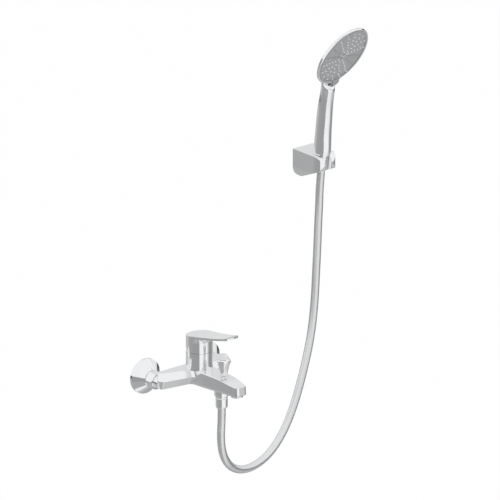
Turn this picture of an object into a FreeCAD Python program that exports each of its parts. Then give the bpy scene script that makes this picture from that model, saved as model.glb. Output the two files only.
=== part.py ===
import FreeCAD, Part
import math
import os

os.makedirs("parts", exist_ok=True)
vec = FreeCAD.Vector
right, inward, up = (1, 0, 0), (0, 1, 0), (0, 0, 1)
outward, down = (0, -1, 0), (0, 0, -1)

# A wall-mounted single-lever bath and shower mixer with diverter, hose, wall holder and hand shower.
# Millimetres. X runs to the right along the wall, Y into the wall, Z up. Every piece is drawn from the
# axis of the mixer's own inlets, and written lifted by union_offset, because the outlets in the wall
# sit that much lower. A depth is the distance out of the wall, so Y is minus the depth.

# clearances
thread_gap = 0.12
slide_gap = 0.05
free_gap = 0.35
seam = 0.5

# wall unions, escutcheons and union nuts
inlet_spacing = 150.0
union_offset = 4.0
wall_thread_radius = 10.48
wall_thread_length = 16.0
union_thread_radius = 13.2
union_flange_radius = 16.5
union_flange_depth = 9.0
union_bore_radius = 7.5
escutcheon_radius = 35.0
escutcheon_rim = 5.0
escutcheon_depth = 22.5
escutcheon_neck_radius = 18.0
escutcheon_wall = 1.5
escutcheon_hub = 6.0
nut_across_flats = 31.5
nut_corner_radius = 17.4
nut_length = 19.0
nut_web = 3.0
tail_flange_thick = 3.0
tail_neck_radius = 13.0
tail_neck_length = 5.0
tail_thread_radius = 9.6
tail_thread_length = 10.0
tail_bore_radius = 6.5
washer_thick = 2.0
strainer_wall = 0.8

# cast body
body_top = 22.0
nose_height = 8.6
body_bottom = -11.5
arm_back_extra = 1.2
arm_end_radius = 13.0
arm_top_radius = 7.5
arm_bottom_radius = 5.5
inlet_collar_length = 7.0
spout_reach = 203.0
spout_root_half = 20.0
spout_lower_corner = 7.0
spout_bevel = 1.1
nose_tilt = 4.0
housing_depth = 75.0
housing_radius = 25.7
housing_flare = 0.7
housing_taper = 12.0
seam_height = 56.0
channel_radius = 4.5
channel_height = 4.0

# cartridge
cartridge_radius = 20.0
cartridge_floor = 11.0
cartridge_base_thick = 6.0
disc_radius = 16.0
disc_thick = 4.0
port_radius = 3.6
port_spread = 9.0
shell_wall = 2.0
shell_height = 31.0
retaining_nut_height = 7.0
dome_height = 9.0
spindle_width = 8.0
spindle_top = 76.0
pivot_pin_radius = 2.0

# lever
lever_top = 89.0
lever_reach = 177.6
lever_rise = 11.0
lever_wall = 2.4
blade_thick = 4.4
tilt_range = 22.0
hub_radius = 9.5
grub_radius = 2.5
plug_radius = 4.2

# diverter
diverter_depth = 148.0
diverter_chamber_radius = 9.0
chamber_floor = -3.0
diverter_travel = 7.0
stem_radius = 2.5
valve_radius = 7.2
valve_thick = 4.5
guide_collar_radius = 6.5
guide_collar_height = 3.2
knob_height = 35.0
knob_foot_radius = 7.6
knob_foot_round = 2.4
knob_top_radius = 12.7
spring_radius = 4.1
spring_wire = 1.0
spring_turns = 4.5

# shower outlet and aerator
outlet_depth = 142.0
outlet_radius = 12.0
outlet_flare = 2.4
outlet_bottom = -19.0
nipple_bore_radius = 4.6
hose_thread_radius = 10.4
hose_thread_length = 10.0
nipple_flange = 2.0
aerator_depth = 187.5
aerator_radius = 12.0
aerator_seat_radius = 11.0
aerator_bottom = -7.2
aerator_cavity_top = 7.0

# hose and its nuts
hose_radius = 7.8
hose_bore_radius = 4.5
hose_nut_radius = 11.3
hose_nut_length = 22.0
hose_grip = 8.0
cone_top_radius = 11.6
cone_bottom_radius = 8.6
cone_length = 36.0

# hand shower holder
holder_x = 322.5
holder_half_width = 25.0
holder_top = 377.0
holder_height = 60.0
holder_depth = 78.0
holder_front_height = 33.0
seat_depth = 59.5
seat_lean = 7.0
cradle_slot = 17.5
wall_plate_thick = 6.0
wall_plate_half_width = 18.0
screw_radius = 2.2
screw_shank_radius = 1.8
screw_head_radius = 4.2
screw_length = 24.0
screw_spacing = 32.0

# hand shower
head_turn = 8.0
handle_length = 135.0
handle_foot_width = 16.0
handle_foot_depth = 17.2
handle_neck_width = 13.2
handle_neck_depth = 13.5
handle_wall = 3.0
head_radius = 65.5
head_rim = 5.6
head_dome = 13.0
head_wall = 2.6
face_radius = 62.0
face_thick = 3.0
plate_screw_radius = 3.0
nozzle_inner_ring = 13.0
head_offset = 30.1
head_height = 215.9
head_pitch = 18.4
nozzle_radius = 1.6
nozzle_height = 1.8
ridge_width = 1.4
ridge_height = 1.0
selector_width = 17.0
selector_turn = -6.0
selector_out = 8.5
swivel_stub_radius = 10.3
waterway_radius = 2.6


def finish(name, shape):
    moved = shape.copy()
    moved.translate(vec(0, 0, union_offset))
    if not moved.isValid():
        print("not valid:", name)
    print(f"{name}: {len(moved.Solids)} solid, {moved.Volume / 1000:.2f} cm3")
    moved.exportStep(f"parts/{name}.step")


def placed(shape, base, axis):
    turn = FreeCAD.Rotation(vec(*up), vec(*axis))
    moved = shape.copy()
    moved.Placement = FreeCAD.Placement(vec(*base), turn)
    return moved


def turned(profile, base=(0, 0, 0), axis=up):
    # a turned piece: profile is a closed outline of (radius, height along the axis) points
    points = [vec(radius, 0, height) for radius, height in profile]
    face = Part.Face(Part.makePolygon(points + points[:1]))
    return placed(face.revolve(vec(0, 0, 0), vec(*up), 360), base, axis)


def rod(radius, length, base, axis=up):
    return Part.makeCylinder(radius, length, vec(*base), vec(*axis))


def ring(outer, inner, length, base, axis=up):
    return rod(outer, length, base, axis).cut(rod(inner, length, base, axis))


def hexagon(across_flats, length, base, axis=up):
    corner = across_flats / math.sqrt(3)
    points = [vec(corner * math.cos(k * math.pi / 3), corner * math.sin(k * math.pi / 3), 0)
              for k in range(7)]
    prism = Part.Face(Part.makePolygon(points)).extrude(vec(0, 0, length))
    return placed(prism, base, axis)


def box(size, corner):
    return Part.makeBox(*size, vec(*corner))


def joined(first, *others):
    solid = first
    for other in others:
        solid = solid.fuse(other)
    return solid.removeSplitter()


def line(a, b):
    return Part.LineSegment(vec(*a), vec(*b)).toShape()


def arc(a, through, b):
    return Part.Arc(vec(*a), vec(*through), vec(*b)).toShape()


# Wall unions. Depths along the inlet axis are worked out from the front of the union nut backwards.
inlet_x = inlet_spacing / 2
nut_back = escutcheon_depth + free_gap
nut_front = nut_back + nut_length
body_back = nut_front + tail_neck_length
flange_front = nut_front - nut_web
flange_back = flange_front - tail_flange_thick
union_front = flange_back - washer_thick
nut_bore_radius = union_thread_radius + thread_gap
tail_flange_radius = nut_bore_radius - free_gap


def eccentric_union(x):
    stud = rod(wall_thread_radius, wall_thread_length + 2, (x, wall_thread_length, -union_offset), outward)
    flange = rod(union_flange_radius, union_flange_depth - 1, (x, -1, -union_offset / 2), outward)
    front = rod(union_thread_radius, union_front - 2, (x, -2, 0), outward)
    rear_bore = rod(union_bore_radius, wall_thread_length + 12, (x, wall_thread_length, -union_offset), outward)
    front_bore = rod(union_bore_radius + 1, union_front, (x, -6, 0), outward)
    return joined(stud, flange, front).cut(rear_bore).cut(front_bore)


def escutcheon(x):
    wall = escutcheon_wall
    hub = union_thread_radius + thread_gap
    slope = (escutcheon_radius - escutcheon_neck_radius) / (escutcheon_depth - escutcheon_rim)
    hub_back = escutcheon_depth - escutcheon_hub
    inner_at_hub = escutcheon_neck_radius + slope * (escutcheon_depth - hub_back) - wall * 1.4
    profile = [
        (escutcheon_radius - wall, 0),
        (escutcheon_radius, 0),
        (escutcheon_radius, escutcheon_rim),
        (escutcheon_radius - 0.8, escutcheon_rim + 0.8),
        (escutcheon_neck_radius, escutcheon_depth - 0.8),
        (escutcheon_neck_radius - 0.8, escutcheon_depth),
        (hub, escutcheon_depth),
        (hub, hub_back),
        (inner_at_hub, hub_back),
        (escutcheon_radius - wall, escutcheon_rim - wall / 2),
    ]
    return turned(profile, (x, 0, 0), outward)


def union_nut(x):
    blank = hexagon(nut_across_flats, nut_length, (x, -nut_back, 0), outward)
    bevel = 1.6
    corner = nut_corner_radius
    envelope = turned([(0, 0), (corner - bevel, 0), (corner, bevel), (corner, nut_length - bevel),
                       (corner - bevel, nut_length), (0, nut_length)], (x, -nut_back, 0), outward)
    thread = rod(nut_bore_radius, nut_length - nut_web, (x, -nut_back, 0), outward)
    neck_hole = rod(tail_neck_radius - 1 + thread_gap, nut_length, (x, -nut_back, 0), outward)
    return blank.common(envelope).cut(thread).cut(neck_hole)


def inlet_tail(x):
    neck = tail_neck_radius - 1
    profile = [
        (tail_bore_radius, flange_back),
        (tail_flange_radius, flange_back),
        (tail_flange_radius, flange_front),
        (neck, flange_front),
        (neck, nut_front + free_gap),
        (tail_neck_radius, nut_front + free_gap),
        (tail_neck_radius, body_back),
        (tail_thread_radius, body_back),
        (tail_thread_radius, body_back + tail_thread_length),
        (tail_bore_radius, body_back + tail_thread_length),
    ]
    return turned(profile, (x, 0, 0), outward)


def strainer_washer(x):
    # a rubber washer round a domed wire strainer that reaches back into the union's bore
    bore = union_bore_radius + 1 - free_gap
    profile = [
        (0, union_front - 5),
        (bore - 2, union_front - 5),
        (bore, union_front - 3),
        (bore, union_front),
        (tail_flange_radius, union_front),
        (tail_flange_radius, flange_back),
        (tail_bore_radius, flange_back),
        (tail_bore_radius, union_front - 2),
        (bore - 2 - strainer_wall, union_front - 5 + strainer_wall),
        (0, union_front - 5 + strainer_wall),
    ]
    return turned(profile, (x, 0, 0), outward)


for side, x in (("left", -inlet_x), ("right", inlet_x)):
    finish(f"eccentric_union_{side}", eccentric_union(x))
    finish(f"escutcheon_{side}", escutcheon(x))
    finish(f"union_nut_{side}", union_nut(x))
    finish(f"inlet_tail_{side}", inlet_tail(x))
finish("strainer_washers", Part.makeCompound([strainer_washer(-inlet_x), strainer_washer(inlet_x)]))


# Cast body. The arms are ruled between level outlines: each level has its height, the centre and radius
# of the rounded arm ends, the slope of the front edge in plan and the half width where the spout starts.
edge_bevel = 0.8
arm_corner_radius = 12.0
arm_half = spout_root_half - 0.4
arm_levels = [
    (body_top, inlet_x + 1.6, arm_top_radius - edge_bevel, 0.33, arm_half - edge_bevel),
    (body_top - edge_bevel, inlet_x + 1.6, arm_top_radius, 0.33, arm_half),
    (nose_height, inlet_x + 1.0, arm_end_radius, 0.206, arm_half),
    (body_bottom, inlet_x + 0.2, arm_bottom_radius, 0.168, arm_half * 0.69),
]


def arm_outline(height, end_x, end_radius, slope, spout_half):
    end_depth = body_back + end_radius + (arm_back_extra if height == body_bottom else 0)
    if height == body_top:
        end_depth += edge_bevel
    lean = math.atan(slope)
    tangent = (-end_x - end_radius * math.sin(lean), -end_depth - end_radius * math.cos(lean))
    corner_y = tangent[1] - slope * (-spout_half - tangent[0])
    half_angle = (math.pi / 2 + lean) / 2
    reach = arm_corner_radius / math.tan(half_angle)
    first = (-spout_half - reach * math.cos(lean), corner_y + reach * math.sin(lean))
    last = (-spout_half, corner_y - reach)
    bisector = (-math.sin(half_angle), -math.cos(half_angle))
    to_arc = arm_corner_radius / math.sin(half_angle) - arm_corner_radius
    middle = (-spout_half + to_arc * bisector[0], corner_y + to_arc * bisector[1])
    end_middle = (-end_x - end_radius * math.cos(lean / 2), -end_depth + end_radius * math.sin(lean / 2))

    def at(point):
        return (point[0], point[1], height)

    def across(point):
        return (-point[0], point[1], height)

    back = (-end_x, -end_depth + end_radius)
    root = (-spout_half, last[1] - 1)
    edges = [
        line(across(back), at(back)),
        arc(at(back), at(end_middle), at(tangent)),
        line(at(tangent), at(first)),
        arc(at(first), at(middle), at(last)),
        line(at(last), at(root)),
        line(at(root), across(root)),
        line(across(root), across(last)),
        arc(across(last), across(middle), across(first)),
        line(across(first), across(tangent)),
        arc(across(tangent), across(end_middle), across(back)),
    ]
    return Part.Wire(edges)


tip_bottom_share = 0.36
# stations along the spout: how far they are from the housing's axis to the tip, and there the half width,
# top, bottom and lower corners as shares of what they are at its root
spout_stations = [
    (0.0, 1.0, 1.0, 0.99, 1.0),
    (0.13, 0.993, 1.0, 0.9, 1.0),
    (0.27, 0.98, 1.0, 0.81, 1.0),
    (0.47, 0.915, 0.995, 0.68, 0.93),
    (0.67, 0.855, 0.955, 0.56, 0.86),
    (0.83, 0.78, 0.827, 0.45, 0.71),
    (1.016, 0.645, 0.655, tip_bottom_share, 0.8),
]
tip_half = spout_root_half * 0.66
tip_corner_radius = 6.5
tip_heel_radius = 7.0


def spout_section(along, half_share, top_share, bottom_share, corner_share):
    depth = housing_depth + along * (spout_reach - housing_depth)
    half, top, bottom = spout_root_half * half_share, body_top * top_share, body_bottom * bottom_share
    lower_radius = spout_lower_corner * corner_share
    side_end = bottom + lower_radius
    round_in = lower_radius * (1 - math.sqrt(0.5))

    def at(x, z):
        return (x, -depth, z)

    edges = [
        line(at(-half + spout_bevel, top), at(half - spout_bevel, top)),
        line(at(half - spout_bevel, top), at(half, top - spout_bevel)),
        line(at(half, top - spout_bevel), at(half, side_end)),
        arc(at(half, side_end), at(half - round_in, bottom + round_in), at(half - lower_radius, bottom)),
        line(at(half - lower_radius, bottom), at(-half + lower_radius, bottom)),
        arc(at(-half + lower_radius, bottom), at(-half + round_in, bottom + round_in), at(-half, side_end)),
        line(at(-half, side_end), at(-half, top - spout_bevel)),
        line(at(-half, top - spout_bevel), at(-half + spout_bevel, top)),
    ]
    return Part.Wire(edges)


def spout():
    hull = Part.makeLoft([spout_section(*station) for station in spout_stations], True, False)
    tip = tip_corner_radius
    start, wide, back = -spout_reach + 80, spout_root_half + 4, -housing_depth + 10
    shoulder = (-tip_half - 0.5, -spout_reach + tip * 1.2, 0)
    middle = (-tip_half + tip * 0.3, -spout_reach + tip * 0.3, 0)
    front = (-tip_half + tip, -spout_reach, 0)
    left = [line((-wide, start, 0), shoulder), arc(shoulder, middle, front)]
    plan = Part.Face(Part.Wire([
        line((wide, back, 0), (-wide, back, 0)),
        line((-wide, back, 0), (-wide, start, 0)),
        *left,
        line(front, (-front[0], front[1], 0)),
        arc((-front[0], front[1], 0), (-middle[0], middle[1], 0), (-shoulder[0], shoulder[1], 0)),
        line((-shoulder[0], shoulder[1], 0), (wide, start, 0)),
        line((wide, start, 0), (wide, back, 0)),
    ]))
    # the tip's face leans back as it rises
    lean = math.tan(math.radians(nose_tilt))
    below, above = 2 * body_bottom, 2 * body_top
    plan.translate(vec(0, below * lean, below))
    tip_shaped = hull.common(plan.extrude(vec(0, (above - below) * lean, above - below)))
    # and is rounded where it meets the underside
    heel, tip_bottom = tip_heel_radius, body_bottom * tip_bottom_share
    heel_y, heel_z = -spout_reach + lean * tip_bottom + heel, tip_bottom + heel
    corner = box((2 * wide, 2 * heel, 2 * heel), (-wide, heel_y - 2 * heel, heel_z - 2 * heel))
    return tip_shaped.cut(corner.cut(rod(heel, 2 * wide, (-wide, heel_y, heel_z), right)))


# heights inside the housing, from the chamber floor up
chamber_radius = cartridge_radius + 0.15
nut_thread_radius = 22.6
chamber_floor_height = 24.0
shell_top = 48.0
retaining_top = shell_top + retaining_nut_height - 1.5
pivot_height = seam_height
port_depth = housing_depth - 7.0
outlet_port_depth = housing_depth + 9.0
locating_pin_radius = 1.5
locating_pin_length = 3.0
locating_pin_spread = 15.0
guide_radius = diverter_chamber_radius
valve_bottom = chamber_floor + free_gap
valve_top = valve_bottom + valve_thick
guide_bottom = valve_top + diverter_travel + free_gap
guide_seat = 20.8
channel_depth = port_depth - 6.0
nipple_thread_radius = 8.0
nipple_thread_length = 9.0
aerator_shoulder = -5.1
housing_foot = body_top - edge_bevel


def mixer_body():
    arms = Part.makeLoft([arm_outline(*level) for level in arm_levels], True, True)
    housing = turned([(0, 0), (spout_root_half - 1, 0), (spout_root_half - 1, housing_foot),
                      (housing_radius + housing_flare, housing_foot),
                      (housing_radius + housing_flare, body_top), (housing_radius, body_top + housing_taper),
                      (housing_radius, seam_height), (0, seam_height)], (0, -housing_depth, 0))
    foot = outlet_radius + outlet_flare
    boss = turned([(0, 0), (foot, 0), (foot, outlet_bottom + 3.0), (foot - 0.7, outlet_bottom + 1.0),
                   (outlet_radius, outlet_bottom), (0, outlet_bottom)], (0, -outlet_depth, 0))
    solid = joined(arms, spout(), housing, boss)
    for x in (-inlet_x, inlet_x):
        collar = rod(tail_neck_radius, inlet_collar_length, (x, -body_back, 0), outward)
        solid = solid.fuse(collar)
    cuts = [rod(tail_thread_radius + thread_gap, tail_thread_length + 1, (x, -body_back, 0), outward)
            for x in (-inlet_x, inlet_x)]
    cuts += [rod(tail_bore_radius - 1, channel_depth - body_back, (x, -body_back, 0), outward)
             for x in (-inlet_x, inlet_x)]
    for sign in (-1, 1):
        start = (sign * inlet_x, -channel_depth, channel_height)
        cuts.append(rod(channel_radius, inlet_x - port_spread, start, (-sign, 0, 0)))
        cuts.append(rod(port_radius, chamber_floor_height - channel_height,
                        (sign * port_spread, -port_depth, channel_height)))
        cuts.append(rod(locating_pin_radius + slide_gap, locating_pin_length + 0.5,
                        (sign * locating_pin_spread, -housing_depth, chamber_floor_height
                         - locating_pin_length - 0.5)))
    cuts.append(rod(port_radius, chamber_floor_height - channel_height,
                    (0, -outlet_port_depth, channel_height)))
    cuts.append(rod(channel_radius, diverter_depth - outlet_port_depth,
                    (0, -outlet_port_depth, channel_height), outward))
    cuts.append(rod(chamber_radius, seam_height, (0, -housing_depth, chamber_floor_height)))
    cuts.append(rod(nut_thread_radius + thread_gap, seam_height, (0, -housing_depth, shell_top)))
    cuts.append(rod(guide_radius, guide_seat - chamber_floor, (0, -diverter_depth, chamber_floor)))
    cuts.append(rod(guide_radius + free_gap, 10, (0, -diverter_depth, guide_seat)))
    drain_end = outlet_bottom + nipple_thread_length + 0.5
    cuts.append(rod(nipple_bore_radius - 0.4, chamber_floor - drain_end, (0, -diverter_depth, drain_end)))
    cuts.append(rod(nipple_thread_radius + thread_gap, nipple_thread_length + 1,
                    (0, -outlet_depth, outlet_bottom)))
    exit_start = vec(0, -diverter_depth, guide_bottom + 3.5)
    exit_end = vec(0, -aerator_depth, aerator_cavity_top - 4)
    run = exit_end - exit_start
    cuts.append(Part.makeCylinder(2.2, run.Length, exit_start, run))
    below = 2 * body_bottom
    cuts.append(rod(aerator_seat_radius, aerator_cavity_top - below, (0, -aerator_depth, below)))
    cuts.append(rod(aerator_radius + free_gap, aerator_shoulder - below, (0, -aerator_depth, below)))
    for cut in cuts:
        solid = solid.cut(cut)
    return solid


finish("mixer_body", mixer_body())


# Cartridge: base and fixed disc below, the moving disc and its driver, the turning carrier above.
axis_y = -housing_depth
base_top = chamber_floor_height + cartridge_base_thick
fixed_disc_top = base_top + disc_thick
moving_disc_top = fixed_disc_top + disc_thick
driver_height = 3.0
driver_top = moving_disc_top + driver_height
shell_bore = cartridge_radius - shell_wall
neck_outer = 14.5
neck_inner = 12.6
neck_top = pivot_height + 4.5
web_bottom = shell_top - 3.0
moving_disc_radius = 14.0
driver_width = 12.0
driver_length = 10.0
ball_radius = 2.9
ball_drop = 14.5
disc_shift = ball_drop * math.radians(tilt_range)
swing_width = spindle_width + 0.5


def port_places():
    return [(-port_spread, -port_depth), (port_spread, -port_depth), (0, -outlet_port_depth)]


def cartridge_base():
    solid = rod(cartridge_radius, 3, (0, axis_y, chamber_floor_height))
    solid = solid.fuse(rod(shell_bore - slide_gap, cartridge_base_thick, (0, axis_y, chamber_floor_height)))
    for sign in (-1, 1):
        solid = solid.fuse(rod(locating_pin_radius, locating_pin_length,
                               (sign * locating_pin_spread, axis_y, chamber_floor_height), down))
    for x, y in port_places():
        solid = solid.cut(rod(port_radius, 20, (x, y, chamber_floor_height - 5)))
        solid = solid.cut(rod(port_radius + 2, 1.6, (x, y, chamber_floor_height)))
    return solid


def cartridge_seals():
    return Part.makeCompound([ring(port_radius + 1.95, port_radius, 1.6, (x, y, chamber_floor_height))
                              for x, y in port_places()])


def fixed_ceramic_disc():
    solid = rod(disc_radius, disc_thick, (0, axis_y, base_top))
    for x, y in port_places():
        solid = solid.cut(rod(port_radius, disc_thick + 2, (x, y, base_top - 1)))
    return solid


def moving_ceramic_disc():
    # at rest it sits towards the wall and covers both inlet ports; its waterway is a pocket below
    centre = axis_y + disc_shift / 2
    solid = rod(moving_disc_radius, disc_thick, (0, centre, fixed_disc_top))
    pocket = box((12, 9, 2.4), (-6, -outlet_port_depth - 1, fixed_disc_top))
    return solid.cut(pocket)


def disc_driver():
    solid = box((driver_width, driver_length, driver_height),
                (-driver_width / 2, axis_y - driver_length / 2, moving_disc_top))
    return solid.cut(rod(ball_radius + free_gap, driver_height - 0.6, (0, axis_y, moving_disc_top + 0.6)))


def cartridge_shell():
    profile = [(shell_bore, chamber_floor_height + 3), (cartridge_radius, chamber_floor_height + 3),
               (cartridge_radius, shell_top), (neck_outer, shell_top), (neck_outer, neck_top),
               (neck_inner, neck_top), (neck_inner, web_bottom), (shell_bore, web_bottom)]
    return turned(profile, (0, axis_y, 0))


def cartridge_carrier():
    bottom = moving_disc_top + free_gap
    solid = rod(shell_bore - slide_gap, web_bottom - slide_gap - bottom, (0, axis_y, bottom))
    solid = solid.fuse(rod(neck_inner - slide_gap, neck_top - bottom, (0, axis_y, bottom)))
    track_width = driver_width + 2 * slide_gap
    track = box((track_width, driver_length + disc_shift + 2, driver_height + free_gap),
                (-track_width / 2, axis_y - driver_length / 2 - disc_shift - 1, bottom - 0.5))
    swing = box((swing_width, 16, 40), (-swing_width / 2, axis_y - 8.5, bottom - 0.5))
    pin_hole = rod(pivot_pin_radius + slide_gap / 2, 40, (-20, axis_y, pivot_height), right)
    return solid.cut(track).cut(swing).cut(pin_hole)


def tilt_pin():
    length = 2 * (neck_inner - 4 * slide_gap)
    return rod(pivot_pin_radius, length, (-length / 2, axis_y, pivot_height), right)


def cartridge_spindle():
    half = spindle_width / 2
    shank_bottom = pivot_height - 4.2
    upper = box((spindle_width, spindle_width, spindle_top - shank_bottom), (-half, axis_y - half, shank_bottom))
    lower = rod(2.4, ball_drop - 3, (0, axis_y, pivot_height - ball_drop))
    ball = Part.makeSphere(ball_radius, vec(0, axis_y, pivot_height - ball_drop))
    eye = rod(pivot_pin_radius + slide_gap, 30, (-15, axis_y, pivot_height), right)
    return joined(upper, lower, ball).cut(eye)


def retaining_nut():
    solid = turned([(neck_outer + free_gap, shell_top), (nut_thread_radius, shell_top),
                    (nut_thread_radius, retaining_top), (neck_outer + free_gap, retaining_top)],
                   (0, axis_y, 0))
    for k in range(3):
        notch = box((60, 4, 2.5), (-30, -2, retaining_top - 2.5))
        notch.rotate(vec(0, 0, 0), vec(*up), 30 + 60 * k)
        notch.translate(vec(0, axis_y, 0))
        core = rod(neck_outer + 3.5, 20, (0, axis_y, retaining_top - 10))
        solid = solid.cut(notch.cut(core))
    return solid


dome_ball_radius = nut_thread_radius - 0.1


def trim_dome():
    top = pivot_height + dome_height - 2.5
    blank = ring(dome_ball_radius, neck_outer + free_gap, top - retaining_top, (0, axis_y, retaining_top))
    ball = Part.makeSphere(dome_ball_radius, vec(0, axis_y, pivot_height))
    lower = rod(dome_ball_radius, pivot_height - retaining_top, (0, axis_y, retaining_top))
    hollow = ring(dome_ball_radius - 2.2, neck_outer + free_gap + 1.6, top - 1.6 - retaining_top,
                  (0, axis_y, retaining_top))
    return blank.common(ball.fuse(lower)).cut(hollow)


finish("cartridge_base", cartridge_base())
finish("cartridge_seals", cartridge_seals())
finish("fixed_ceramic_disc", fixed_ceramic_disc())
finish("moving_ceramic_disc", moving_ceramic_disc())
finish("disc_driver", disc_driver())
finish("cartridge_shell", cartridge_shell())
finish("cartridge_carrier", cartridge_carrier())
finish("tilt_pin", tilt_pin())
finish("cartridge_spindle", cartridge_spindle())
finish("cartridge_retaining_nut", retaining_nut())
finish("trim_dome", trim_dome())


# Lever: a round skirt under a blade whose top sweeps up towards its rounded tip.
skirt_bottom = seam_height + seam
blade_half = 16.8
blade_tip_corner = 9.5
blade_start = 22.0
skirt_inner = housing_radius - lever_wall
cap_thick = 3.5
hub_bottom = pivot_height + 10.0
plug_height = 72.0
blade_middle_depth = 113.0


def side_slab(drop, floor):
    # what lies over the floor and under the blade's top, or under a curve that runs below it by drop at
    # the rear and draws nearer towards the tip
    rear = (0, axis_y + housing_radius + 1, lever_top - 3 - drop)
    middle = (0, -blade_middle_depth, lever_top + 7 - drop)
    tip = (0, -lever_reach - 2, lever_top + 2 * lever_rise - drop * 0.85)
    low_rear, low_tip = (0, rear[1], floor), (0, tip[1], floor)
    face = Part.Face(Part.Wire([arc(rear, middle, tip), line(tip, low_tip), line(low_tip, low_rear),
                                line(low_rear, rear)]))
    face.translate(vec(-2 * housing_radius, 0, 0))
    return face.extrude(vec(4 * housing_radius, 0, 0))


def blade_plan():
    corner, around = blade_tip_corner, math.radians(blade_start)
    start = (-housing_radius * math.cos(around), axis_y - housing_radius * math.sin(around), 0)
    shoulder = (-blade_half, -lever_reach + corner * 1.2, 0)
    middle = (-blade_half + corner * 0.25, -lever_reach + corner * 0.38, 0)
    front = (-blade_half + corner, -lever_reach + 0.8, 0)
    tip = (0, -lever_reach, 0)

    def across(point):
        return (-point[0], point[1], point[2])

    face = Part.Face(Part.Wire([
        arc(across(start), (0, axis_y + housing_radius, 0), start),
        line(start, shoulder),
        arc(shoulder, middle, front),
        arc(front, tip, across(front)),
        arc(across(front), across(middle), across(shoulder)),
        line(across(shoulder), across(start)),
    ]))
    face.translate(vec(0, 0, skirt_bottom))
    return face.extrude(vec(0, 0, lever_top))


def lever_handle():
    # the full block under the blade's top, less what lies below the blade outside the flared skirt
    block = blade_plan().common(side_slab(0, skirt_bottom - 1))
    flare_bottom = lever_top - 14.0
    flare_reach = 12.0
    flare_top = lever_top + 3.0
    column = Part.Face(Part.Wire([
        line((0, 0, skirt_bottom - 5), (housing_radius, 0, skirt_bottom - 5)),
        line((housing_radius, 0, skirt_bottom - 5), (housing_radius, 0, flare_bottom)),
        arc((housing_radius, 0, flare_bottom),
            (housing_radius + flare_reach * 0.22, 0, flare_top - 6.5),
            (housing_radius + flare_reach, 0, flare_top)),
        line((housing_radius + flare_reach, 0, flare_top), (0, 0, flare_top)),
        line((0, 0, flare_top), (0, 0, skirt_bottom - 5)),
    ])).revolve(vec(0, 0, 0), vec(*up), 360)
    column.translate(vec(0, axis_y, 0))
    wide = 4 * housing_radius
    front = box((wide, lever_reach, lever_top), (-wide / 2, axis_y - lever_reach, skirt_bottom - 4))
    below_blade = side_slab(blade_thick, skirt_bottom - 10).common(front).cut(column)
    solid = block.cut(below_blade)
    cavity_top = lever_top - cap_thick - 1.5
    cavity = ring(skirt_inner, hub_radius, cavity_top - skirt_bottom, (0, axis_y, skirt_bottom))
    under_hub = rod(hub_radius, hub_bottom - skirt_bottom, (0, axis_y, skirt_bottom))
    socket_half = spindle_width / 2 + slide_gap
    socket = box((2 * socket_half, 2 * socket_half, spindle_top + 1 - hub_bottom),
                 (-socket_half, axis_y - socket_half, hub_bottom))
    relief = box((wide, wide, wide), (-wide / 2, axis_y, skirt_bottom - wide))
    relief.rotate(vec(0, axis_y, skirt_bottom), vec(*right), tilt_range + 0.8)
    grub_hole = rod(grub_radius, 20, (0, axis_y + 4, plug_height), inward)
    plug_hole = rod(plug_radius, 20, (0, axis_y + skirt_inner - 2, plug_height), inward)
    for cut in (cavity, under_hub, socket, relief, grub_hole, plug_hole):
        solid = solid.cut(cut)
    return solid


def lever_grub_screw():
    solid = rod(grub_radius - slide_gap, 7, (0, axis_y + spindle_width / 2 + slide_gap, plug_height), inward)
    recess = hexagon(2.5, 3, (0, axis_y + spindle_width / 2 + slide_gap + 4.1, plug_height), inward)
    return solid.cut(recess)


def lever_index_plug():
    head = rod(plug_radius - slide_gap, lever_wall + 0.4, (0, axis_y + skirt_inner, plug_height), inward)
    return head.common(rod(housing_radius, 40, (0, axis_y, plug_height - 20)))


finish("lever_handle", lever_handle())
finish("lever_grub_screw", lever_grub_screw())
finish("lever_index_plug", lever_index_plug())


# Diverter: a guide screwed into the spout, and a stem with knob and valve disc that lifts through it.
collar_top = guide_seat + guide_collar_height
knob_bottom = collar_top + seam
guide_ceiling = 14.5
guide_ring = 2.0
stem_bore = stem_radius + slide_gap
seal_height = 2.0
seal_bottom = 16.5
stem_top = knob_bottom + 14.0
diverter_y = -diverter_depth


def diverter_guide():
    outer = guide_radius - thread_gap
    inner = outer - 1.9
    profile = [(5.3, guide_bottom), (outer, guide_bottom), (outer, guide_seat),
               (guide_collar_radius, guide_seat), (guide_collar_radius, collar_top - 0.8),
               (guide_collar_radius - 0.8, collar_top), (stem_bore, collar_top),
               (stem_bore, seal_bottom + seal_height), (stem_bore + 1.6, seal_bottom + seal_height),
               (stem_bore + 1.6, seal_bottom), (stem_bore, seal_bottom), (stem_bore, guide_ceiling),
               (inner, guide_ceiling), (inner, guide_bottom + guide_ring),
               (5.3, guide_bottom + guide_ring)]
    solid = turned(profile, (0, diverter_y, 0))
    window = rod(1.9, 40, (0, diverter_y + 20, guide_bottom + guide_ring + 2), outward)
    return solid.cut(window)


def diverter_stem():
    return rod(stem_radius, stem_top - valve_bottom - 0.5, (0, diverter_y, valve_bottom + 0.5))


def diverter_valve_disc():
    profile = [(0, valve_bottom), (valve_radius - 1.2, valve_bottom), (valve_radius, valve_bottom + 1.2),
               (valve_radius, valve_top - 1.2), (valve_radius - 1.2, valve_top), (0, valve_top)]
    return turned(profile, (0, diverter_y, 0)).cut(diverter_stem())


def bent(start, control, end):
    # the arc from start to end that aims at the control point, which lies as far from both
    middle = (start + end) / 2
    out = control - middle
    half = (end - start).Length / 2
    sagitta = half * math.tan(math.atan2(out.Length, half) / 2)
    return Part.Arc(start, middle + out.normalize() * sagitta, end).toShape()


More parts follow.
